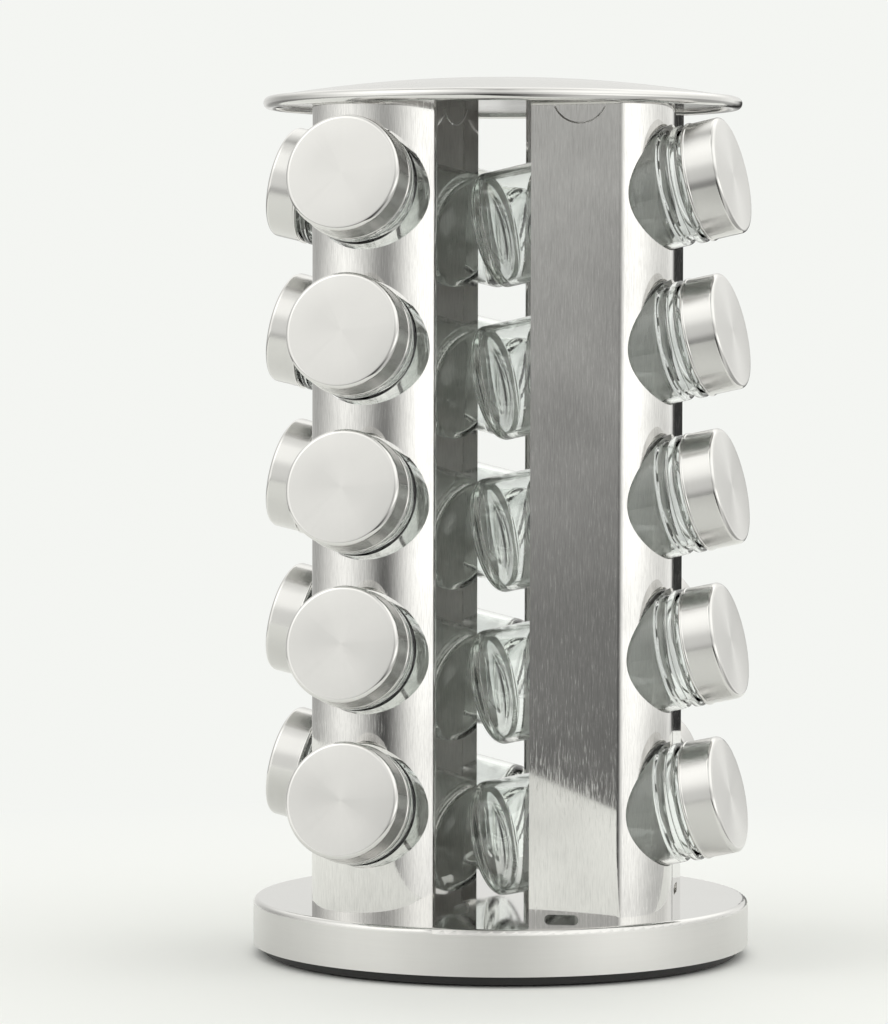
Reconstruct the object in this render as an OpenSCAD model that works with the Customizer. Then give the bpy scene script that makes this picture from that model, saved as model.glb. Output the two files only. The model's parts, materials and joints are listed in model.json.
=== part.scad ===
// Rotating spice rack: a free-standing steel carousel with glass jars lying in four bent-sheet columns.
// A column has a curved front and two flat legs that lean outwards to its open back. The columns stand in a
// pinwheel, so that each jar slides in until its bottom meets the open edge of the next column's leg.
// The base turns on a ball race over a plastic foot plate.
// Frame: the origin is on the table under the middle of the rack, +Z is up and the front column faces -Y.
// Lengths are in millimetres and angles in degrees.

/* [Base pan] */
// Diameter of the base pan
base_d = 180; // [176:1:200]
// Height of the base pan
base_h = 16.5; // [15.5:0.5:22]
// Height of the pan's lower edge above the table
base_gap = 4; // [3:0.5:6]
// Rounding of the pan's upper edge
base_round = 2; // [1:0.5:4]
// Thickness of the sheet steel
sheet = 0.8; // [0.6:0.1:1]

/* [Columns] */
// Width of a column across the open edges of its legs
column_w = 57; // [55:0.5:60]
// Width of a column across the bends between its legs and its curved front
bend_w = 46.5; // [46:0.5:48]
// Outside radius of the bends
bend_r = 4; // [3:0.5:5]
// Radius of the curved front
front_r = 28.5; // [27:0.5:30]
// Distance from the rack's axis to the centre of the curved front
column_dist = 43; // [42:0.5:46]
// Sideways offset of a column's middle plane from the rack's axis
column_offset = 28.5; // [28:0.5:31]
// Distance from the rack's axis to the open edges of the legs
leg_end = 28.5; // [26:0.5:30]
// Length of the fixing tabs, from the leg inwards
tab_l = 11; // [9:0.5:12]
// Width of the fixing tabs, along the leg
tab_w = 7; // [6:0.5:7.5]
// Distance from the open edge of a leg to the middle of its tabs
tab_mid = 22.5; // [21.5:0.5:24]

/* [Column cut-outs] */
// Width of the notch at the foot of each leg
notch_w = 12; // [8:0.5:12]
// Height of the notch
notch_h = 1.8; // [1.2:0.1:3]
// Distance from the open edge of a leg to the middle of its notch
notch_mid = 11.5; // [9:0.5:12]
// Width of the half-moon spring tongue at the top of each leg
tongue_w = 17.5; // [12:0.5:18]
// Height of the tongue
tongue_h = 5.7; // [4:0.1:7]
// Distance from the open edge of a leg to the middle of its tongue
tongue_mid = 17; // [14:0.5:18]
// Distance from the tongue's root to the top of the column
tongue_drop = 3; // [2:0.5:6]
// Width of the cut round the tongue
tongue_slit = 0.6; // [0.4:0.1:1]

/* [Tiers] */
// Number of jars in a column
tiers = 5; // [2:1:5]
// Height from one tier to the next
tier_pitch = 54.3; // [52:0.1:60]
// Height of the lowest hole's axis above the base, at the centre of the curved front
low_margin = 33; // [32:0.5:45]
// Height of the column above the highest hole's axis
top_margin = 37; // [37:0.5:45]
// Angle by which the jars lean back from level
tilt = 12.5; // [9:0.5:14]
// Radial play of a jar in its hole
hole_play = 0.8; // [0.5:0.1:1.5]
// Clearance between a jar and what it rests on
seat_gap = 0.3; // [0.2:0.05:0.4]

/* [Jars] */
// Diameter of the glass body
jar_d = 41.4; // [39:0.2:43]
// Height of the glass
jar_h = 90; // [86:0.5:96]
// Thickness of the glass wall
glass_t = 2.2; // [1.6:0.1:2.6]
// Thickness of the glass bottom
glass_floor = 5; // [3:0.5:7]
// Rounding at the bottom of the jar
heel_r = 3; // [2:0.25:4]
// Height of the hollow under the bottom
punt_h = 1.2; // [0.5:0.1:1.8]
// Rounding of the shoulder
shoulder_r = 2.5; // [2:0.25:3]
// How far the neck stands inside the body
neck_inset = 1.5; // [1.2:0.1:2]
// Height of the bead ring under the lid
bead_h = 3; // [2.2:0.1:3.5]
// How far the bead ring stands proud of the body
bead_proud = 0.2; // [0.1:0.05:0.4]
// Height of the neck between the shoulder and the bead
neck_gap = 2.5; // [2:0.25:5]

/* [Lids] */
// Height of a lid
lid_h = 12.5; // [11:0.5:16]
// Thickness of the lid's sheet
lid_sheet = 0.5; // [0.4:0.05:0.7]
// Rounding of the lid's edge
lid_round = 1.6; // [0.8:0.1:2]
// Room between the neck and the inside of the lid
lid_room = 1; // [0.8:0.1:1.8]
// Diameter of the lid's rolled lip
lip_d = 1.5; // [1.2:0.1:1.8]
// How far the rolled lip stands proud of the lid's side
lip_proud = 0.4; // [0.2:0.05:0.5]
// Clearance between the lid's lip and the bead ring
lip_gap = 1.5; // [0.8:0.1:3]
// Thickness of the sealing liner
liner_t = 1; // [0.6:0.1:1.5]
// Clearance between the liner and the jar's mouth
liner_gap = 0.1; // [0.05:0.05:0.3]

/* [Top] */
// Diameter of the top cover
top_d = 173; // [170:1:190]
// Diameter of the cover's rolled rim
roll_d = 4.4; // [3.6:0.2:5]
// Rise of the dome above the rim
dome_rise = 7.2; // [6:0.2:14]
// Thickness of the inner plate
plate_t = 1; // [0.8:0.1:1.5]

/* [Foot] */
// How far the foot plate's edge stands inside the pan's edge
foot_inset = 4; // [3:0.5:8]
// Thickness of the foot plate
foot_t = 3; // [2.4:0.2:3.4]
// Height of the foot plate's rim inside the pan
foot_lap = 2; // [1:0.5:4]
// Width of the foot plate's rim
foot_rim_w = 2.5; // [2:0.5:4]
// Number of rubber pads
pad_count = 4; // [3:1:8]
// Diameter of a rubber pad
pad_d = 14; // [10:1:18]
// Thickness of a rubber pad
pad_t = 2; // [1.6:0.1:2.4]
// Height of the foot plate above the table
pad_stand = 0.8; // [0.5:0.1:1.2]

/* [Bearing] */
// Diameter of a ball
ball_d = 6; // [5:0.25:6.5]
// Number of balls
ball_count = 12; // [6:1:16]
// Width of a race
race_w = 10; // [8:0.5:12]
// Thickness of a race
race_t = 2.6; // [2.2:0.1:3]
// Depth of the groove in a race
groove = 1.2; // [0.8:0.1:1.4]
// Clearance between a ball and its groove
ball_play = 0.1; // [0.05:0.05:0.2]
// Thickness of the ball cage
cage_t = 2; // [1.4:0.2:2.4]
// Diameter of the pivot pin
pin_d = 8; // [6:0.5:9]
// Radial running clearance of the pivot pin
pin_play = 0.05; // [0.03:0.01:0.08]
// Thickness of the hub plate
hub_t = 3; // [3:0.2:4]

/* [Screws] */
// Diameter of a screw's shank
screw_d = 3; // [2.5:0.25:3.5]
// Diameter of a screw's head
screw_head_d = 5.6; // [4.8:0.2:6.4]
// Height of a screw's head
screw_head_h = 2; // [1.4:0.1:2.2]
// Length of thread past the tab
screw_past = 1.6; // [1:0.2:2]

/* [Hidden] */
$fn = 96;
sides = ["front", "right", "back", "left"];
side_ids = [0 : len(sides) - 1];
tier_ids = [1 : tiers];
// Spare length of a cut past the face that it leaves
past = 1;
// Clearance of pieces that are pressed or bolted together
close_fit = 0.05;
// Clearance of a screw in a plain hole
screw_play = 0.1;

// Heights
base_top = base_gap + base_h;
column_top = base_top + low_margin + (tiers - 1) * tier_pitch + top_margin;
column_h = column_top - base_top;
function tier_z(tier) = base_top + low_margin + (tiers - tier) * tier_pitch;

// Columns
column_r = column_w / 2;
// A bend is an arc inside the front's arc, and the leg is its tangent from the open edge
bend_x = bend_w / 2 - bend_r;
bend_turn = asin(bend_x / (front_r - bend_r));
bend_y = -column_dist - (front_r - bend_r) * cos(bend_turn);
bend_far = norm([column_r - bend_x, bend_y + leg_end]);
leg_lean = atan2(column_r - bend_x, -bend_y - leg_end) - asin(bend_r / bend_far);
leg_out = [cos(leg_lean), -sin(leg_lean)];
leg_way = [-sin(leg_lean), -cos(leg_lean)];
// A point of the right leg, from its distance to the open edge and its depth under the outer face
function leg_point(along, depth) = [column_r, -leg_end] + along * leg_way - depth * leg_out;
tab_point = leg_point(tab_mid, sheet + tab_l / 2);
// The tongue's outline is an arc through its two root points and its tip
tongue_r = (tongue_w * tongue_w / 4 + tongue_h * tongue_h) / (2 * tongue_h);

// Jars: a jar lies on the lower edge of its hole, with its bottom against the next column's leg
jar_r = jar_d / 2;
hole_r = jar_r + hole_play;
jar_drop = hole_play - seat_gap;
leg_plane = column_offset - column_r;
hole_reach = front_r + past;
heel_reach = (jar_r - heel_r) * sin(tilt) + heel_r * (1 - cos(tilt));
jar_bottom_y = leg_plane - seat_gap - heel_reach;
jar_start = (-column_dist - jar_drop * sin(tilt) - jar_bottom_y) / cos(tilt);
cavity_r = jar_r - glass_t;
cavity_round = heel_r + glass_t / 2;
neck_r = jar_r - neck_inset;
mouth_r = neck_r - glass_t;
// Width of the flat ring that a jar stands on
stand_w = 3;
punt_r = jar_r - heel_r - stand_w;

// Lids
lid_r = neck_r + lid_room + lid_sheet;
liner_r = lid_r - lid_round - close_fit;
liner_z = jar_h + liner_gap;
lid_ceiling = liner_z + liner_t + close_fit;
lid_top = lid_ceiling + lid_sheet;
lip_z = lid_top - lid_h;
bead_top = lip_z - lip_gap;
// Rounding of the bead ring
bead_round = 0.8;
neck_bottom = bead_top - bead_h - neck_gap;
body_top = neck_bottom - shoulder_r;

// Top
top_r = top_d / 2;
roll_r = roll_d / 2;
roll_z = column_top + plate_t / 2;
plate_r = top_r - roll_d - close_fit;
dome_a = top_r - roll_r;
dome_z = roll_z + roll_r - sheet / 4;
dome_r = (dome_a * dome_a + dome_rise * dome_rise) / (2 * dome_rise);

// Foot, bearing and hub
foot_r = base_d / 2 - foot_inset;
// Clearance between a pad and the foot plate's rim
pad_edge = 2;
pad_r = foot_r - foot_rim_w - pad_d / 2 - pad_edge;
screw_in = norm([tab_point[0] - column_offset, tab_point[1]]);
screw_out = norm([tab_point[0] + column_offset, tab_point[1]]);
ball_r = ball_d / 2;
groove_r = ball_r + ball_play;
hub_r = screw_out + screw_head_d;
hub_top = base_top - sheet;
hub_bottom = hub_top - hub_t;
ball_z = hub_bottom - race_t + groove - groove_r;
lower_race_top = ball_z - groove_r + groove;
plateau_z = lower_race_top - race_t;
// Lip that holds a race in place
race_lip = 1.2;
race_lip_w = 2;
// The race lies inside the circle of the inner screws
screw_room = 1.5;
race_r = screw_in - screw_head_d / 2 - screw_room - race_lip_w - race_w / 2;
race_hold_r = race_r + race_w / 2 + race_lip_w;
// Width of the cage on each side of its balls
cage_rim = 1.5;
cage_w = ball_d + 2 * cage_rim;
// Radial play of a ball in its cage
cage_play = 0.15;
pin_r = pin_d / 2;
// How far the pin's head, its boss and its clip reach past the pin
pin_head_over = 3;
boss_over = 5;
clip_over = 4;
pin_head_r = pin_r + pin_head_over;
pin_head_h = 1.4;
boss_r = pin_r + boss_over;
// Gap between the hub's sleeve and the boss below it
sleeve_gap = 0.5;
clip_t = 0.8;
clip_r = pin_r + clip_over;
// Room round the clip in its recess, and the recess's depth of floor
clip_room = 0.5;
clip_floor = 0.3;
clip_z = hub_bottom + clip_floor + seat_gap;
// Length of the pin past its clip
pin_past = 0.6;
pin_top = clip_z + clip_t + pin_past;

function jar_name(side, tier) = str("jar_", sides[side], "_", tier);
function lid_name(side, tier) = str("lid_", sides[side], "_", tier);
function column_name(side) = str("column_", sides[side]);

// Colours
steel = [0.78, 0.78, 0.77];
dark_steel = [0.55, 0.56, 0.57];
glass = [0.80, 0.90, 0.86, 0.45];
black = [0.06, 0.06, 0.06];
rubber = [0.12, 0.12, 0.12];
cage_white = [0.90, 0.90, 0.86];

// Outlines that are spun round the Z axis

// A strip from the axis outwards, whose outer corners are rounded by low_round and high_round
module spun_strip(r, z0, z1, low_round, high_round) {
    translate([0, z0])
        square([r - max(low_round, high_round), z1 - z0]);
    translate([0, z0 + low_round])
        square([r, z1 - z0 - low_round - high_round]);
    if (low_round > 0)
        spun_corner(r - low_round, z0 + low_round, low_round);
    if (high_round > 0)
        spun_corner(r - high_round, z1 - high_round, high_round);
    if (low_round < high_round)
        translate([0, z0])
            square([r - low_round, z1 - z0 - high_round]);
    if (high_round < low_round)
        translate([0, z0 + low_round])
            square([r - high_round, z1 - z0 - low_round]);
}

// The circle that rounds a corner
module spun_corner(x, z, r) {
    translate([x, z])
        circle(r);
}

module ring(r_in, r_out, z0, z1) {
    difference() {
        translate([0, 0, z0])
            cylinder(r = r_out, h = z1 - z0);
        translate([0, 0, z0 - past])
            cylinder(r = r_in, h = z1 - z0 + 2 * past);
    }
}

// Places

// A column's own frame: its middle plane is x = 0 and it faces -Y
module at_column(side) {
    rotate([0, 0, 90 * side])
        translate([-column_offset, 0, 0])
            children();
}

// A hole's own frame: Z runs outwards along the jar's tilted path
module at_hole(tier) {
    translate([0, -column_dist, tier_z(tier)])
        rotate([90 - tilt, 0, 0])
            children();
}

// A jar's own frame: the middle of its bottom, with Z towards the lid
module at_jar(side, tier) {
    at_column(side)
        at_hole(tier)
            translate([0, -jar_drop, jar_start])
                children();
}

// The two legs of a column, each with the outer face at x = 0 and its open edge at y = 0
module at_legs() {
    for (hand = [0, 1])
        mirror([hand, 0, 0])
            translate([column_r, -leg_end, 0])
                rotate([0, 0, -leg_lean])
                    children();
}

// The eight places where the column tabs are screwed down
module at_tabs() {
    for (side = side_ids)
        at_column(side)
            at_legs()
                translate([-sheet - tab_l / 2, -tab_mid, 0])
                    children();
}

// Foot

module foot_plate() {
    color(black)
    difference() {
        union() {
            translate([0, 0, pad_stand])
                cylinder(r = foot_r, h = foot_t);
            ring(foot_r - foot_rim_w, foot_r, pad_stand, base_gap + foot_lap);
            ring(race_r - race_w / 2, race_hold_r, pad_stand, plateau_z);
            ring(race_r + race_w / 2 + close_fit, race_hold_r, pad_stand, plateau_z + race_lip);
            translate([0, 0, pad_stand])
                cylinder(r = boss_r, h = plateau_z - pad_stand);
        }
        translate([0, 0, -past])
            cylinder(r = pin_r + close_fit, h = column_top);
        translate([0, 0, -past])
            cylinder(r = pin_head_r + close_fit, h = pad_stand + pin_head_h + past);
        for (i = [0 : pad_count - 1])
            rotate([0, 0, (i + 0.5) * 360 / pad_count])
                translate([pad_r, 0, -past])
                    cylinder(d = pad_d + 2 * close_fit, h = pad_t + past);
    }
}

module foot_pads() {
    color(rubber)
    for (i = [0 : pad_count - 1])
        rotate([0, 0, (i + 0.5) * 360 / pad_count])
            translate([pad_r, 0, 0])
                cylinder(d = pad_d, h = pad_t);
}

module pivot_pin() {
    color(dark_steel) {
        translate([0, 0, pad_stand])
            cylinder(r = pin_head_r, h = pin_head_h);
        translate([0, 0, pad_stand])
            cylinder(r = pin_r, h = pin_top - pad_stand);
    }
}

module pivot_clip() {
    color(dark_steel)
    ring(pin_r + close_fit, clip_r, clip_z, clip_z + clip_t);
}

// Bearing

// The channel that the balls run in
module ball_channel() {
    rotate_extrude()
        translate([race_r, ball_z])
            circle(groove_r);
}

module lower_race() {
    color(dark_steel)
    difference() {
        ring(race_r - race_w / 2, race_r + race_w / 2, plateau_z, lower_race_top);
        ball_channel();
    }
}

module upper_race() {
    color(dark_steel)
    difference() {
        ring(race_r - race_w / 2, race_r + race_w / 2, hub_bottom - race_t, hub_bottom);
        ball_channel();
    }
}

module at_balls() {
    for (i = [0 : ball_count - 1])
        rotate([0, 0, i * 360 / ball_count])
            translate([race_r, 0, ball_z])
                children();
}

module bearing_balls() {
    color(steel)
    at_balls()
        sphere(ball_r);
}

module ball_cage() {
    color(cage_white)
    difference() {
        ring(race_r - cage_w / 2, race_r + cage_w / 2, ball_z - cage_t / 2, ball_z + cage_t / 2);
        at_balls()
            cylinder(r = ball_r + cage_play, h = 2 * cage_t, center = true);
    }
}

// Turntable

module turntable_hub() {
    sleeve_z = plateau_z + sleeve_gap;
    color(black)
    difference() {
        union() {
            translate([0, 0, hub_bottom])
                cylinder(r = hub_r, h = hub_t);
            translate([0, 0, sleeve_z])
                cylinder(r = boss_r, h = hub_top - sleeve_z);
            ring(race_r + race_w / 2 + close_fit, race_hold_r, hub_bottom - race_lip, hub_top);
        }
        cylinder(r = pin_r + pin_play, h = column_top);
        translate([0, 0, hub_bottom + clip_floor])
            cylinder(r = clip_r + clip_room, h = hub_t);
        at_tabs()
            cylinder(d = screw_d + 2 * screw_play, h = column_top);
    }
}

module base_pan() {
    color(steel)
    difference() {
        rotate_extrude()
            difference() {
                spun_strip(base_d / 2, base_gap, base_top, 0, base_round);
                translate([0, -past])
                    spun_strip(base_d / 2 - sheet, base_gap, hub_top + past, 0, base_round - sheet);
            }
        at_tabs()
            cylinder(d = screw_d + 2 * screw_play, h = column_top);
    }
}

// Columns

// A column's outline at a depth under its outer face, from the curved front to the legs' open edges
module column_outline(depth, open_end) {
    arc_r = front_r - depth;
    arc_end = arc_r * [sin(bend_turn), -cos(bend_turn)] - [0, column_dist];
    leg_start = [bend_x, bend_y] + (bend_r - depth) * leg_out;
    leg_stop = leg_point(-open_end, depth);
    half = [arc_end, leg_start, leg_stop];
    intersection() {
        translate([0, -column_dist])
            circle(arc_r);
        translate([-arc_r, -column_dist - 2 * arc_r])
            square([2 * arc_r, arc_end[1] + column_dist + 2 * arc_r]);
    }
    for (hand = [-1, 1])
        translate([hand * bend_x, bend_y])
            circle(bend_r - depth);
    polygon(concat(half, [for (i = [2 : -1 : 0]) [-half[i][0], half[i][1]]]));
}

module column_tab() {
    difference() {
        translate([-sheet - tab_l, -tab_mid - tab_w / 2, 0])
            cube([tab_l + sheet / 2, tab_w, sheet]);
        translate([-sheet - tab_l / 2, -tab_mid, -past])
            cylinder(d = screw_d + 2 * close_fit, h = sheet + 2 * past);
    }
}

// The notch at the foot of a leg
module foot_notch() {
    translate([-sheet / 2, -notch_mid, 0])
        rotate([0, 90, 0]) {
            for (end = [-1, 1])
                translate([0, end * (notch_w / 2 - notch_h), 0])
                    cylinder(r = notch_h, h = sheet + 2 * past, center = true);
            cube([2 * notch_h, notch_w - 2 * notch_h, sheet + 2 * past], center = true);
        }
}

// The half-moon cut that frees the spring tongue at the top of a leg
module tongue_cut() {
    translate([-sheet / 2, -tongue_mid, tongue_r - tongue_h])
        intersection() {
            rotate([0, 90, 0])
                difference() {
                    cylinder(r = tongue_r + tongue_slit / 2, h = sheet + 2 * past, center = true);
                    cylinder(r = tongue_r - tongue_slit / 2, h = sheet + 4 * past, center = true);
                }
            translate([0, 0, tongue_h - 2 * tongue_r])
                cube([sheet + 2 * past, 2 * tongue_w, 2 * tongue_r], center = true);
        }
}

module column(side) {
    color(steel)
    at_column(side) {
        difference() {
            translate([0, 0, base_top])
                linear_extrude(column_h)
                    difference() {
                        column_outline(0, 0);
                        column_outline(sheet, past);
                    }
            for (tier = tier_ids)
                at_hole(tier)
                    cylinder(r = hole_r, h = 2 * hole_reach);
            at_legs() {
                translate([0, 0, base_top])
                    foot_notch();
                translate([0, 0, column_top - tongue_drop])
                    tongue_cut();
            }
        }
        at_legs()
            for (z = [base_top, column_top - sheet])
                translate([0, 0, z])
                    column_tab();
    }
}

// A pan-head screw that points up, with the underside of its head at z = 0
module screw(length) {
    cylinder(d = screw_d, h = length);
    translate([0, 0, -screw_head_h])
        rotate_extrude()
            spun_strip(screw_head_d / 2, 0, screw_head_h, screw_head_h / 2, 0);
}

module lower_screws() {
    color(dark_steel)
    at_tabs()
        translate([0, 0, hub_bottom])
            screw(base_top + sheet + screw_past - hub_bottom);
}

module upper_screws() {
    color(dark_steel)
    at_tabs()
        translate([0, 0, column_top + plate_t])
            rotate([180, 0, 0])
                screw(plate_t + sheet + screw_past);
}

// Top

module inner_plate() {
    color(steel)
    difference() {
        translate([0, 0, column_top])
            cylinder(r = plate_r, h = plate_t);
        at_tabs()
            cylinder(d = screw_d + 2 * screw_play, h = 2 * column_top);
    }
}

module top_cover() {
    color(steel)
    rotate_extrude() {
        translate([dome_a, roll_z])
            circle(roll_r);
        intersection() {
            translate([0, dome_z + dome_rise - dome_r])
                difference() {
                    circle(dome_r);
                    circle(dome_r - sheet);
                }
            translate([0, roll_z])
                square([dome_a, dome_rise + roll_d]);
        }
    }
}

// Jars and lids

module jar_outside() {
    spun_strip(jar_r, 0, neck_bottom, heel_r, shoulder_r);
    translate([0, glass_floor])
        square([neck_r, jar_h - glass_floor]);
    spun_strip(jar_r + bead_proud, bead_top - bead_h, bead_top, bead_round, bead_round);
}

module jar_inside() {
    spun_strip(cavity_r, glass_floor, body_top, cavity_round, shoulder_r);
    translate([0, body_top - shoulder_r])
        square([mouth_r, jar_h]);
    intersection() {
        sphere_r = (punt_r * punt_r + punt_h * punt_h) / (2 * punt_h);
        translate([0, punt_h - sphere_r])
            circle(sphere_r);
        translate([0, -past])
            square([jar_r, punt_h + 2 * past]);
    }
}

module jar(side, tier) {
    color(glass)
    at_jar(side, tier)
        rotate_extrude()
            difference() {
                jar_outside();
                jar_inside();
            }
}

module lid_outline() {
    difference() {
        spun_strip(lid_r, lip_z + lip_d / 2, lid_top, 0, lid_round);
        translate([0, -past])
            spun_strip(lid_r - lid_sheet, lip_z, lid_ceiling + past, 0, lid_round - lid_sheet);
    }
    translate([lid_r + lip_proud - lip_d / 2, lip_z + lip_d / 2])
        circle(d = lip_d);
}

module lid(side, tier) {
    color(steel)
    at_jar(side, tier) {
        rotate_extrude()
            lid_outline();
        translate([0, 0, liner_z])
            cylinder(r = liner_r, h = liner_t);
    }
}

// The rack

foot_plate();
foot_pads();
lower_race();
pivot_pin();
pivot_clip();
ball_cage();
bearing_balls();
upper_race();
turntable_hub();
base_pan();
lower_screws();
inner_plate();
upper_screws();
top_cover();
for (side = side_ids) {
    column(side);
    for (tier = tier_ids) {
        jar(side, tier);
        lid(side, tier);
    }
}
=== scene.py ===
"""Looks of the rotating spice rack: camera, studio light, finishes, and the jars and lids as finer meshes.

Lengths are in metres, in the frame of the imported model: +Z up, the front column faces -Y.
"""

import json
import math

import bpy
from mathutils import Matrix, Vector


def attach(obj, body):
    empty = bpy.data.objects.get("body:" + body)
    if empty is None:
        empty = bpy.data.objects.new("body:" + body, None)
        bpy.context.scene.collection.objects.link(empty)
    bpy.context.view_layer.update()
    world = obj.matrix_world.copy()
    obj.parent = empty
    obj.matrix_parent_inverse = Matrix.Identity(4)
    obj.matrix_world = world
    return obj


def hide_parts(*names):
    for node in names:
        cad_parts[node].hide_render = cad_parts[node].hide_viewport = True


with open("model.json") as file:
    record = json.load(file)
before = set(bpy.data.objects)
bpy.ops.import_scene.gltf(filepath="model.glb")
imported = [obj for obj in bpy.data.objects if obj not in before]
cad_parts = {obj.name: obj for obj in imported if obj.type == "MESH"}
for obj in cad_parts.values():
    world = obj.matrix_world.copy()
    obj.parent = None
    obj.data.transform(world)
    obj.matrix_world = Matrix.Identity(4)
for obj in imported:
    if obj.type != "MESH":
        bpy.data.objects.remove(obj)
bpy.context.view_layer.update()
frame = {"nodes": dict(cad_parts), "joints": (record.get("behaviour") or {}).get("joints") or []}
nodes = frame["nodes"]
joints = {joint["name"]: joint for joint in frame["joints"]}
scene = bpy.context.scene
scene.view_settings.view_transform = "Standard"
# Enough bounces for a look through several jars
scene.cycles.max_bounces = 24
scene.cycles.transmission_bounces = 24
scene.cycles.glossy_bounces = 8

MM = 0.001
SIDES = ["front", "right", "back", "left"]
TIERS = range(1, 6)

# Camera: the photograph's view, with a long lens a little above the middle of the rack. The sensor, in
# millimetres, spans the picture's longer side, its height, and the focal length is in the picture's pixels.
IMAGE_H = 1024
SENSOR = 36.0
FOCAL_PX = 4532
CAMERA_AZIMUTH = math.radians(17.6)
CAMERA_DISTANCE = 1.644
CAMERA_HEIGHT = 0.2405
CAMERA_PITCH = math.radians(2.79)
CAMERA_YAW = math.radians(0.735)
CAMERA_ROLL = math.radians(-0.13)

# Floor and plain backdrop
BACKDROP = (0.905, 0.917, 0.888)
FLOOR_ALBEDO = (0.86, 0.87, 0.85)
FLOOR_ROUGH = 0.85
FLOOR_R = 0.85
FLOOR_SEGMENTS = 128
# Distances from the rack between which the floor fades into the backdrop, as the camera sees it
FLOOR_FADE = (0.14, 0.49)
# The floor's right edge, as reflections show it: its distance from the rack's axis, and which way it faces
FLOOR_EDGE = 0.20
FLOOR_EDGE_TURN = math.radians(78.9)
# Share of the plain backdrop in what is seen through glass
SEEN_THROUGH_GLASS = 0.6

# Studio: what stands round the rack, each as (angle to the right of the camera's side, half-width, strength),
# in degrees: a softbox on the left, a bright wall behind the rack and a dim wall on the left
STUDIO_TINT = (1.0, 1.0, 0.97)
STUDIO_LEVEL = 0.86
STUDIO = [(-66, 24, 0.36), (145, 14, 0.20), (-130, 26, -0.36)]
# What changes with height, each with two heights, in degrees above level, and its share below the first
# and above the second: a softbox on the right, the dark end behind the camera and a low dark screen behind
# the rack
STUDIO_BY_HEIGHT = [
    ((55, 31, 0.64), (6, 14), (1, 0.2)),
    ((-4, 25, -0.66), (-6, 5), (1.15, 0.55)),
    ((166, 13, -0.85), (3, 6), (1, 0)),
]
# Softbox overhead: strength, and the heights between which it comes in and ends
OVERHEAD = 0.44
OVERHEAD_LOW = (14, 36)
OVERHEAD_HIGH = (55, 80)
# Dim ground beyond the floor: its share of the light, and the heights between which it takes over
GROUND = 0.5
GROUND_EDGE = (-12, -3)

# Jar, measured along its axis from its bottom
JAR_R = 20.7 * MM
JAR_H = 90 * MM
GLASS_T = 1.7 * MM
GLASS_FLOOR = 3.6 * MM
CAVITY_ROUND = 1.5 * MM
# Ring on the cavity's flat floor, as a share of its radius, where the shading of its rounding ends
CAVITY_RING = 0.4
HEEL_R = 3 * MM
PUNT_H = 0.6 * MM
PUNT_R = 14.7 * MM
PUNT_STEPS = 8
# Steps on a straight wall, which keep the shading of its rounded ends from spreading along it
WALL_STEPS = 6
NECK_R = 19.2 * MM
SHOULDER_R = 1.5 * MM
BEAD_R = 20.9 * MM
BEAD_LOW = 74.65 * MM
BEAD_HIGH = 77.65 * MM
BEAD_ROUND = 0.8 * MM
BEAD_FILLET = 0.3 * MM
NECK_LOW = 72.15 * MM
NECK_FILLET = 0.6 * MM
LIP_ROUND = 0.8 * MM
# Ridges round the heel: their number, the segments from one to the next, their depth, and how far beyond
# the heel's height they would run out
HEEL_RIDGES = 72
RIDGE_STEPS = 3
RIDGE_DEPTH = 0.08 * MM
RIDGE_BEYOND = 0.2 * MM
JAR_SEGMENTS = RIDGE_STEPS * HEEL_RIDGES
# Waves in the glass, each as (number round the jar, height over which it drifts round by a radian of wave)
WAVES = [(3, 9 * MM), (7, -6 * MM)]
WAVE_DEPTH = 0.14 * MM

# Lid
LID_R = 20.7 * MM
LID_LOW = 79.15 * MM
LID_HIGH = 91.65 * MM
LID_SHEET = 0.5 * MM
LID_ROUND = 1.6 * MM
LID_INNER_ROUND = 0.7 * MM
# Ring on the lid's flat top, as a share of its radius, where the shading of its rounding ends
LID_RING = 0.5
LID_SEGMENTS = 160
# Rolled lip: the heights above its middle where the wall runs into it outside and inside, and the angle on
# its round, in degrees above level, where the outside meets it
LIP_D = 1.5 * MM
LIP_PROUD = 0.4 * MM
LIP_RUN_OUTSIDE = 1.2 * LIP_D
LIP_RUN_INSIDE = 0.4 * LIP_D
LIP_MEETS = 55
LINER_R = 19.05 * MM
LINER_LOW = 90.1 * MM
LINER_HIGH = 91.1 * MM
LINER_SEGMENTS = 96

# How far out from a jar's bottom the middle line of its column stands
COLUMN_ALONG_JAR = 40 * MM


# Meshes

# Edges that bend by more than this stay sharp
SHARP_ANGLE = math.radians(35)


def arc(centre_r, centre_z, radius, start, end, steps):
    """Points of an arc in a profile, from start to end in degrees, where 0 points away from the axis."""
    angles = [math.radians(start + (end - start) * i / steps) for i in range(steps + 1)]
    return [(centre_r + radius * math.cos(a), centre_z + radius * math.sin(a)) for a in angles]


def lathe(name, profile, segments, shift=None):
    """A closed mesh, made by turning a profile of (radius, height) that starts and ends on the axis."""
    verts, faces, rings = [], [], []
    for r, z in profile:
        if r == 0:
            rings.append([len(verts)])
            verts.append((0, 0, z))
            continue
        ring = []
        for k in range(segments):
            turn = 2 * math.pi * k / segments
            r_here = r - (shift(r, z, k) if shift else 0)
            ring.append(len(verts))
            verts.append((r_here * math.cos(turn), r_here * math.sin(turn), z))
        rings.append(ring)
    for low, high in zip(rings, rings[1:]):
        for k in range(segments):
            a, b = low[k % len(low)], low[(k + 1) % len(low)]
            c, d = high[(k + 1) % len(high)], high[k % len(high)]
            faces.append(list(dict.fromkeys((a, b, c, d))))
    mesh = bpy.data.meshes.new(name)
    mesh.from_pydata(verts, [], faces)
    mesh.polygons.foreach_set("use_smooth", [True] * len(faces))
    mesh.set_sharp_from_angle(angle=SHARP_ANGLE)
    mesh.update()
    return mesh


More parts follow.
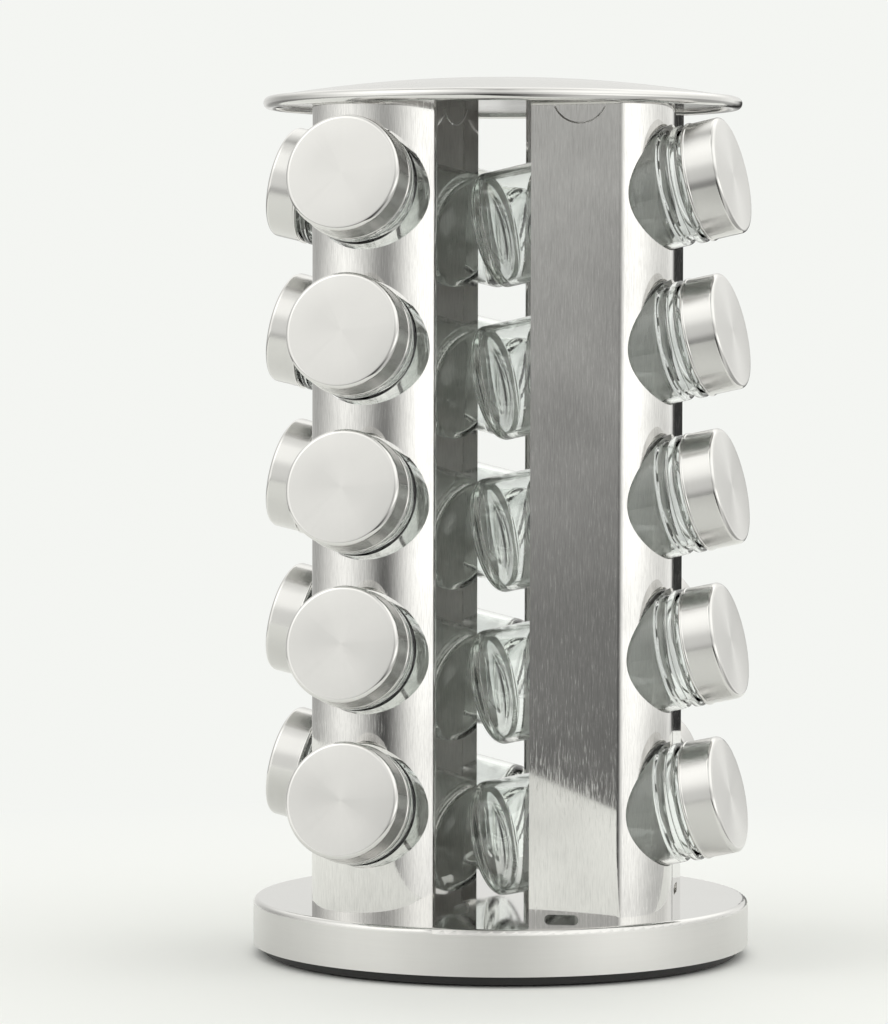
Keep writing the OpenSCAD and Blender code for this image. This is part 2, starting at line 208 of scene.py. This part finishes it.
def place(name, mesh, matrix, body, node=None):
    """A piece that shows a mesh, moves with a body and, where a node is named, stands for that node."""
    piece = bpy.data.objects.new(name, mesh)
    scene.collection.objects.link(piece)
    piece.matrix_world = matrix
    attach(piece, body)
    if node:
        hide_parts(node)


def jar_frame(side, tier):
    """The place of a jar: the middle of its bottom, with Z along its axis towards the lid."""
    name = f"jar_{side}_{tier}"
    axis = Vector(joints[name + "_pull"]["axis"]).normalized()
    across = Vector((0, 0, 1)).cross(axis).normalized()
    up = axis.cross(across)
    points = [v.co for v in nodes[name].data.vertices]
    bottom = min(p.dot(axis) for p in points)
    centre = axis * bottom
    for way in (across, up):
        reach = [p.dot(way) for p in points]
        centre += way * (min(reach) + max(reach)) / 2
    return Matrix.Translation(centre) @ Matrix((across, up, axis)).transposed().to_4x4()


# Materials

# A Mix node's colour sockets, by place, because its sockets for numbers and vectors have the same names
MIX_FIRST = 6
MIX_SECOND = 7
MIX_RESULT = 2
# How near to edge-on, as reach along its normal, a face counts as turned neither in nor out
FACING_EDGE = 1 * MM


class Tree:
    """Short calls for the nodes of a material or of the world."""

    def __init__(self, tree):
        self.tree = tree

    def node(self, kind, **settings):
        """A new node with its properties, or the values of its inputs, set by name, with _ for a space."""
        made = self.tree.nodes.new(kind)
        for key, value in settings.items():
            if key in made.bl_rna.properties:
                setattr(made, key, value)
            else:
                made.inputs[key.replace("_", " ")].default_value = value
        return made

    def link(self, source, target):
        self.tree.links.new(source, target)

    def fill(self, sockets, values):
        """Sets each socket to a number or vector, or links it to another node's output."""
        for socket, value in zip(sockets, values):
            if isinstance(value, bpy.types.NodeSocket):
                self.link(value, socket)
            else:
                socket.default_value = value

    def maths(self, operation, *values):
        """The result of a Math node."""
        made = self.node("ShaderNodeMath", operation=operation)
        self.fill(made.inputs, values)
        return made.outputs[0]

    def vectors(self, operation, *values):
        """The result of a Vector Math node, which is a number for a length or a dot product."""
        made = self.node("ShaderNodeVectorMath", operation=operation)
        self.fill(made.inputs, values)
        return made.outputs["Value" if operation in ("LENGTH", "DOT_PRODUCT") else "Vector"]

    def split(self, vector):
        """A vector's X, Y and Z."""
        made = self.node("ShaderNodeSeparateXYZ")
        self.link(vector, made.inputs[0])
        return made.outputs

    def ramp(self, value, low, high, out_low, out_high, smooth=False):
        """Goes from out_low to out_high while the value goes from low to high, and stays there beyond."""
        made = self.node("ShaderNodeMapRange", interpolation_type="SMOOTHSTEP" if smooth else "LINEAR")
        self.fill(made.inputs, (value, low, high, out_low, out_high))
        return made.outputs["Result"]

    def tinted(self, shade, tint):
        """A tint, made lighter or darker by a shade."""
        made = self.node("ShaderNodeVectorMath", operation="SCALE")
        self.fill((made.inputs[0], made.inputs["Scale"]), (tint, shade))
        return made.outputs["Vector"]

    def plain_share(self):
        """How much of the plain backdrop a ray shows: all of it to the camera, and a share through glass."""
        seen = self.node("ShaderNodeLightPath").outputs
        through = self.maths("MULTIPLY", seen["Is Transmission Ray"], SEEN_THROUGH_GLASS)
        return self.maths("MAXIMUM", seen["Is Camera Ray"], through)


class Finish(Tree):
    """A material with a Principled shader."""

    def __init__(self, name, **values):
        self.material = bpy.data.materials.new(name)
        self.material.use_nodes = True
        super().__init__(self.material.node_tree)
        self.shader = self.tree.nodes["Principled BSDF"]
        self.output = self.tree.nodes["Material Output"]
        self.spot = self.node("ShaderNodeTexCoord").outputs
        for socket, value in values.items():
            self.shader.inputs[socket.replace("_", " ")].default_value = value

    def coords(self, scale):
        """Object coordinates, stretched by scale."""
        return self.vectors("MULTIPLY", self.spot["Object"], scale)

    def polar(self, scale):
        """Way along a spun piece's profile and way round its Z axis, stretched by scale."""
        flat = self.coords((1, 1, 0))
        way = self.split(self.vectors("NORMALIZE", flat))
        along = self.maths("ADD", self.vectors("LENGTH", flat), self.split(self.spot["Object"])["Z"])
        joined = self.node("ShaderNodeCombineXYZ")
        self.fill(joined.inputs, (along, way["X"], way["Y"]))
        return self.vectors("MULTIPLY", joined.outputs["Vector"], scale)

    def upright(self):
        """1 on upright faces, 0 on level ones."""
        return self.maths("SUBTRACT", 1, self.maths("ABSOLUTE", self.split(self.spot["Normal"])["Z"]))

    def inward(self, centre):
        """1 on faces turned towards the upright line through centre, 0 on faces turned away from it."""
        away = self.vectors("MULTIPLY", self.vectors("SUBTRACT", self.spot["Object"], centre), (1, 1, 0))
        reach = self.vectors("DOT_PRODUCT", away, self.spot["Normal"])
        return self.ramp(reach, -FACING_EDGE, FACING_EDGE, 1, 0)

    def noise(self, vector, detail, rough=0.5):
        """Noise from 0 to 1, with about one speck to each unit of the vector."""
        made = self.node("ShaderNodeTexNoise", Scale=1.0, Detail=detail, Roughness=rough)
        self.link(vector, made.inputs["Vector"])
        return made.outputs["Fac"]

    def bump(self, height, strength, distance):
        """Tilts the surface as if it rose by a distance where the height is 1."""
        made = self.node("ShaderNodeBump", Strength=strength, Distance=distance)
        self.link(height, made.inputs["Height"])
        self.link(made.outputs["Normal"], self.shader.inputs["Normal"])

    def tangent(self):
        """Grain measured round the object's own Z axis."""
        made = self.node("ShaderNodeTangent", direction_type="RADIAL", axis="Z")
        self.link(made.outputs["Tangent"], self.shader.inputs["Tangent"])


# Broad variation of a steel's tone: rays from the middle of a spun piece, clouds on any other
RAYS = (4, 9, 9)
CLOUDS = (30, 30, 30)
CLOUD_SHARE = 0.4
CLOUD_ROUGH = 0.01
STEEL_TINT = (1.0, 0.99, 0.97)
GRAIN_DEPTH = 0.05 * MM
# Turn of the smear, in whole turns: along an upright grain, or along one that runs round
GRAIN_UPRIGHT = 0.0
GRAIN_ROUND = 0.25


def steel(name, grain, tone, rough, smear=0.0, bump=0.0, spun=False, matt_and_painted_light=None, hair=(0.5, 0.8)):
    """Brushed steel, whose streaks, stretched along the grain, vary its tone and its roughness.

    grain is how fine the streaks are along X, Y and Z or, where the piece is spun, along its profile and
    round it. tone and rough are (low, high). smear is how much further reflections spread across the grain
    than along it. matt_and_painted_light, if given, is (mask, tone, rough): where the mask is 1, the tone is
    multiplied by the second and the roughness rises by the third; a factor above 1 is painted light, a
    lighter tone standing in for light on those faces. hair is the range of the streak noise over which a
    hairline comes in.
    """
    turn = GRAIN_ROUND if spun else GRAIN_UPRIGHT
    made = Finish(name, Metallic=1.0, Anisotropic=smear, Anisotropic_Rotation=turn)
    lay = made.polar if spun else made.coords
    fine = made.noise(lay(grain), detail=4.0, rough=0.7)
    cloud = made.noise(lay(RAYS if spun else CLOUDS), detail=2.0)
    blend = made.maths("MULTIPLY_ADD", cloud, CLOUD_SHARE, made.maths("MULTIPLY", fine, 1 - CLOUD_SHARE))
    shade = made.ramp(blend, 0, 1, *tone)
    hairs = made.ramp(fine, *hair, 0, 1)
    rough_here = made.maths("MULTIPLY_ADD", cloud, CLOUD_ROUGH, made.ramp(hairs, 0, 1, *rough))
    if matt_and_painted_light:
        mask, painted_light_tone, coarse_rough = matt_and_painted_light
        where = mask(made)
        # Painted light: where the mask is 1 and the factor is above 1, the tone is lighter, standing in for
        # light that reaches those faces
        shade = made.maths("MULTIPLY", shade, made.ramp(where, 0, 1, 1, painted_light_tone))
        rough_here = made.maths("MULTIPLY_ADD", where, coarse_rough, rough_here)
    made.link(made.tinted(shade, STEEL_TINT), made.shader.inputs["Base Color"])
    made.link(rough_here, made.shader.inputs["Roughness"])
    made.bump(hairs, bump, GRAIN_DEPTH)
    made.tangent()
    return made.material


def column_steel(side):
    """Polished outside with an upright hairline grain, and matt inside, its tone painted 1.2 times lighter to
    stand in for light in the shaded interior.
    """
    middle_tier = TIERS[len(TIERS) // 2]
    centre = jar_frame(side, middle_tier) @ Vector((0, 0, COLUMN_ALONG_JAR))
    # The insides: a tone 1.2 times lighter, which is painted light standing in for light in the shaded
    # interior, and a roughness 0.40 higher
    return steel(
        f"column_steel_{side}", (3000, 3000, 190), tone=(0.30, 1.15), rough=(0.03, 0.24), smear=0.6,
        bump=0.025, matt_and_painted_light=(lambda made: made.inward(centre), 1.2, 0.40), hair=(0.53, 0.70))


pan_steel = steel(
    "pan_steel", (900, 3, 3), tone=(0.66, 0.74), rough=(0.05, 0.09), smear=0.8, bump=0.004, spun=True,
    matt_and_painted_light=(Finish.upright, 1.0, 0.26))
cover_steel = steel(
    "cover_steel", (900, 3, 3), tone=(0.68, 0.75), rough=(0.12, 0.18), smear=0.4, bump=0.01, spun=True)
lid_steel = steel(
    "lid_steel", (3000, 2, 2), tone=(0.66, 0.74), rough=(0.22, 0.27), smear=0.95, bump=0.001, spun=True)
lid_edge_steel = steel(
    "lid_edge_steel", (3000, 2, 2), tone=(0.70, 0.76), rough=(0.06, 0.10), smear=0.5, bump=0.001, spun=True)
bearing_steel = steel("bearing_steel", (900, 900, 900), tone=(0.50, 0.62), rough=(0.12, 0.22), bump=0.03)
screw_steel = steel("screw_steel", (1500, 1500, 1500), tone=(0.48, 0.60), rough=(0.25, 0.40), bump=0.06)


# Moulded skins: tint, depth of the grain, and the range of its noise over which the roughness changes
PLASTIC_TINT = (1.0, 1.0, 0.97)
SKIN_DEPTH = 0.1 * MM
SKIN_SPECKS = (0.3, 0.7)


def plastic(name, tone, rough, grain, bump):
    """Moulded plastic, rubber or foam with a fine-grained skin."""
    made = Finish(name)
    speck = made.noise(made.coords((grain, grain, grain)), detail=3.0)
    made.link(made.tinted(made.ramp(speck, 0, 1, *tone), PLASTIC_TINT), made.shader.inputs["Base Color"])
    made.link(made.ramp(speck, *SKIN_SPECKS, *rough), made.shader.inputs["Roughness"])
    made.bump(speck, bump, SKIN_DEPTH)
    return made.material


black_plastic = plastic("black_plastic", tone=(0.010, 0.024), rough=(0.42, 0.57), grain=2500, bump=0.2)
pad_rubber = plastic("pad_rubber", tone=(0.016, 0.036), rough=(0.70, 0.85), grain=1800, bump=0.3)
cage_plastic = plastic("cage_plastic", tone=(0.72, 0.84), rough=(0.40, 0.55), grain=900, bump=0.1)
liner_foam = plastic("liner_foam", tone=(0.78, 0.90), rough=(0.55, 0.70), grain=3000, bump=0.25)


# Glass: its tint, and the colour and density of the cast that it takes on where it is thick
GLASS_TINT = (0.985, 1.0, 0.992)
GLASS_CAST = (0.80, 0.86, 0.76)
GLASS_CAST_DENSITY = 8


def clear_glass():
    """Clear glass with a faint green cast in its thick parts."""
    made = Finish("jar_glass", Roughness=0.0, IOR=1.5, Transmission_Weight=1.0)
    made.shader.inputs["Base Color"].default_value = (*GLASS_TINT, 1)
    cast = made.node("ShaderNodeVolumeAbsorption", Color=(*GLASS_CAST, 1), Density=GLASS_CAST_DENSITY)
    made.link(cast.outputs["Volume"], made.output.inputs["Volume"])
    return made.material


# Jars and lids

def glass_shift(r, z, k):
    """How far in a point of a jar lies: ridges round the heel, and waves inside the bottom and the mouth."""
    if z > GLASS_FLOOR / 2 and r < NECK_R - GLASS_T / 2:
        turn = 2 * math.pi * k / JAR_SEGMENTS
        waves = [math.sin(number * turn + z / drift) for number, drift in WAVES]
        return WAVE_DEPTH * sum(waves) / len(waves)
    if r > PUNT_R and z < HEEL_R:
        share = math.sin(math.pi * (z + RIDGE_BEYOND) / (HEEL_R + 2 * RIDGE_BEYOND))
        return RIDGE_DEPTH * share * (k % RIDGE_STEPS == 0)
    return 0


def jar_profile():
    """From the middle of the bottom up the outside, over the lip and down the inside."""
    cavity_r = JAR_R - GLASS_T
    mouth_r = NECK_R - GLASS_T
    body_top = NECK_LOW - SHOULDER_R
    wall = [body_top * i / WALL_STEPS for i in range(1, WALL_STEPS)]
    punt_sphere = (PUNT_R ** 2 + PUNT_H ** 2) / (2 * PUNT_H)
    outside = [(0, PUNT_H)]
    for i in range(1, PUNT_STEPS + 1):
        r = PUNT_R * i / PUNT_STEPS
        outside.append((r, PUNT_H - punt_sphere + math.sqrt(punt_sphere ** 2 - r ** 2)))
    outside += arc(JAR_R - HEEL_R, HEEL_R, HEEL_R, -90, 0, steps=8)
    outside += [(JAR_R, z) for z in wall]
    outside += arc(JAR_R - SHOULDER_R, body_top, SHOULDER_R, 0, 90, steps=8)[:-1]
    outside += [(NECK_R, NECK_LOW + NECK_FILLET), (NECK_R, BEAD_LOW - BEAD_FILLET)]
    outside += arc(BEAD_R - BEAD_ROUND, BEAD_LOW + BEAD_ROUND, BEAD_ROUND, -90, 0, steps=5)
    outside += arc(BEAD_R - BEAD_ROUND, BEAD_HIGH - BEAD_ROUND, BEAD_ROUND, 0, 90, steps=5)
    outside += [(NECK_R, BEAD_HIGH + BEAD_FILLET)]
    outside += arc(NECK_R - LIP_ROUND, JAR_H - LIP_ROUND, LIP_ROUND, 0, 90, steps=5)
    inside = arc(mouth_r + LIP_ROUND, JAR_H - LIP_ROUND, LIP_ROUND, 90, 180, steps=5)
    inside += [(mouth_r, NECK_LOW)]
    inside += arc(cavity_r - SHOULDER_R, body_top - SHOULDER_R, SHOULDER_R, 60, 0, steps=6)
    inside += [(cavity_r, z) for z in reversed(wall)]
    inside += arc(cavity_r - CAVITY_ROUND, GLASS_FLOOR + CAVITY_ROUND, CAVITY_ROUND, 0, -90, steps=6)
    inside += [(cavity_r * CAVITY_RING, GLASS_FLOOR), (0, GLASS_FLOOR)]
    return outside + inside


def lid_profile():
    """From the middle of the top down the outside, round the lip and up the inside, turned end for end."""
    inner_r = LID_R - LID_SHEET
    inner_top = LID_HIGH - LID_SHEET
    lip_r = LID_R + LIP_PROUD - LIP_D / 2
    lip_z = LID_LOW + LIP_D / 2
    outside = [(0, LID_HIGH), (LID_R * LID_RING, LID_HIGH)]
    outside += arc(LID_R - LID_ROUND, LID_HIGH - LID_ROUND, LID_ROUND, 90, 0, steps=8)
    outside += [(LID_R, lip_z + LIP_RUN_OUTSIDE)]
    outside += arc(lip_r, lip_z, LIP_D / 2, LIP_MEETS, -180, steps=14)
    inside = [(inner_r, lip_z + LIP_RUN_INSIDE)]
    inside += arc(inner_r - LID_INNER_ROUND, inner_top - LID_INNER_ROUND, LID_INNER_ROUND, 0, 90, steps=5)
    inside += [(0, inner_top)]
    return (outside + inside)[::-1]


def liner_profile():
    """A plain disc."""
    return [(0, LINER_LOW), (LINER_R, LINER_LOW), (LINER_R, LINER_HIGH), (0, LINER_HIGH)]


def polish_edges(mesh):
    """Gives a lid's rolled lip and its rounded edge their second material."""
    for polygon in mesh.polygons:
        middle = polygon.center
        rolled = middle.z < LID_LOW + LIP_D
        rounded = middle.z > LID_HIGH - LID_ROUND and middle.xy.length > LID_R - LID_ROUND
        polygon.material_index = int(rolled or rounded)


jar_mesh = lathe("jar", jar_profile(), JAR_SEGMENTS, glass_shift)
jar_mesh.materials.append(clear_glass())
lid_mesh = lathe("lid", lid_profile(), LID_SEGMENTS)
lid_mesh.materials.append(lid_steel)
lid_mesh.materials.append(lid_edge_steel)
polish_edges(lid_mesh)
liner_mesh = lathe("liner", liner_profile(), LINER_SEGMENTS)
liner_mesh.materials.append(liner_foam)

for side in SIDES:
    for tier in TIERS:
        matrix = jar_frame(side, tier)
        jar, lid = f"jar_{side}_{tier}", f"lid_{side}_{tier}"
        place(f"glass_{side}_{tier}", jar_mesh, matrix, body=jar, node=jar)
        place(f"cap_{side}_{tier}", lid_mesh, matrix, body=lid, node=lid)
        place(f"liner_{side}_{tier}", liner_mesh, matrix, body=lid)

# Finishes of the CAD nodes that stay
FINISHES = {
    "base_pan": pan_steel,
    "top_cover": cover_steel,
    "inner_plate": cover_steel,
    "foot_plate": black_plastic,
    "turntable_hub": black_plastic,
    "foot_pads": pad_rubber,
    "ball_cage": cage_plastic,
    "lower_race": bearing_steel,
    "upper_race": bearing_steel,
    "bearing_balls": bearing_steel,
    "pivot_pin": bearing_steel,
    "pivot_clip": bearing_steel,
    "lower_screws": screw_steel,
    "upper_screws": screw_steel,
}
FINISHES.update({f"column_{side}": column_steel(side) for side in SIDES})
for name, material in FINISHES.items():
    for slot in nodes[name].material_slots:
        slot.material = material


# Stage

def floor():
    """A round pale floor, which fades into the backdrop away from the rack and has an edge in reflections."""
    turns = [2 * math.pi * k / FLOOR_SEGMENTS for k in range(FLOOR_SEGMENTS)]
    rim = [(FLOOR_R * math.cos(turn), FLOOR_R * math.sin(turn), 0) for turn in turns]
    mesh = bpy.data.meshes.new("floor")
    mesh.from_pydata(rim, [], [list(range(FLOOR_SEGMENTS))])
    made = bpy.data.objects.new("floor", mesh)
    scene.collection.objects.link(made)
    finish = Finish("floor", Roughness=FLOOR_ROUGH)
    finish.shader.inputs["Base Color"].default_value = (*FLOOR_ALBEDO, 1)
    far = finish.vectors("LENGTH", finish.spot["Object"])
    fade = finish.ramp(far, *FLOOR_FADE, 0, 1)
    glow = finish.node("ShaderNodeEmission", Color=(*BACKDROP, 1), Strength=1.0)
    blend = finish.node("ShaderNodeMixShader")
    share = finish.maths("MULTIPLY", fade, finish.plain_share())
    finish.fill(blend.inputs, (share, finish.shader.outputs["BSDF"], glow.outputs["Emission"]))
    facing = (math.sin(FLOOR_EDGE_TURN), -math.cos(FLOOR_EDGE_TURN), 0)
    reach = finish.vectors("DOT_PRODUCT", finish.spot["Object"], facing)
    beyond = finish.maths("GREATER_THAN", reach, FLOOR_EDGE)
    mirrored = finish.node("ShaderNodeLightPath").outputs["Is Glossy Ray"]
    open_end = finish.node("ShaderNodeMixShader")
    open_share = finish.maths("MULTIPLY", beyond, mirrored)
    nothing = finish.node("ShaderNodeBsdfTransparent")
    finish.fill(open_end.inputs, (open_share, blend.outputs["Shader"], nothing.outputs["BSDF"]))
    finish.link(open_end.outputs["Shader"], finish.output.inputs["Surface"])
    mesh.materials.append(finish.material)


def studio():
    """The room as light: plain to the camera, with its softboxes and dark ends in reflections."""
    world = bpy.data.worlds.new("studio")
    scene.world = world
    world.use_nodes = True
    room = Tree(world.node_tree)
    turn = room.node("ShaderNodeVectorRotate", rotation_type="Z_AXIS", Angle=-CAMERA_AZIMUTH)
    room.link(room.node("ShaderNodeTexCoord").outputs["Generated"], turn.inputs["Vector"])
    way = room.split(turn.outputs["Vector"])
    angle = room.maths("ARCTAN2", way["X"], room.maths("MULTIPLY", way["Y"], -1))

    def bell(centre, half, strength):
        """The strength of something in the room, which falls off to both sides of its centre."""
        share = room.maths("DIVIDE", room.maths("SUBTRACT", angle, math.radians(centre)), math.radians(half))
        fall = room.maths("EXPONENT", room.maths("MULTIPLY", room.maths("MULTIPLY", share, share), -1))
        return room.maths("MULTIPLY", fall, strength)

    def by_height(edge, below, above):
        """A value that goes from below to above between an edge's two heights."""
        low, high = (math.sin(math.radians(height)) for height in edge)
        return room.ramp(way["Z"], low, high, below, above, smooth=True)

    level = STUDIO_LEVEL
    for thing in STUDIO:
        level = room.maths("ADD", bell(*thing), level)
    for thing, edge, share in STUDIO_BY_HEIGHT:
        level = room.maths("MULTIPLY_ADD", bell(*thing), by_height(edge, *share), level)
    level = room.maths("ADD", level, by_height(OVERHEAD_LOW, 0, OVERHEAD))
    level = room.maths("SUBTRACT", level, by_height(OVERHEAD_HIGH, 0, OVERHEAD))
    level = room.maths("MULTIPLY", level, by_height(GROUND_EDGE, GROUND, 1))
    plain = room.node("ShaderNodeMix", data_type="RGBA")
    plain.inputs[MIX_SECOND].default_value = (*BACKDROP, 1)
    room.link(room.tinted(level, STUDIO_TINT), plain.inputs[MIX_FIRST])
    room.link(room.plain_share(), plain.inputs["Factor"])
    room.link(plain.outputs[MIX_RESULT], room.tree.nodes["Background"].inputs["Color"])


def camera():
    """The photograph's view."""
    data = bpy.data.cameras.new("camera")
    made = bpy.data.objects.new("camera", data)
    scene.collection.objects.link(made)
    data.sensor_width = SENSOR
    data.lens = SENSOR * FOCAL_PX / IMAGE_H
    across, along = math.sin(CAMERA_AZIMUTH), -math.cos(CAMERA_AZIMUTH)
    made.location = (CAMERA_DISTANCE * across, CAMERA_DISTANCE * along, CAMERA_HEIGHT)
    made.rotation_euler = (math.pi / 2 - CAMERA_PITCH, CAMERA_ROLL, CAMERA_AZIMUTH + CAMERA_YAW)
    scene.camera = made


floor()
studio()
camera()
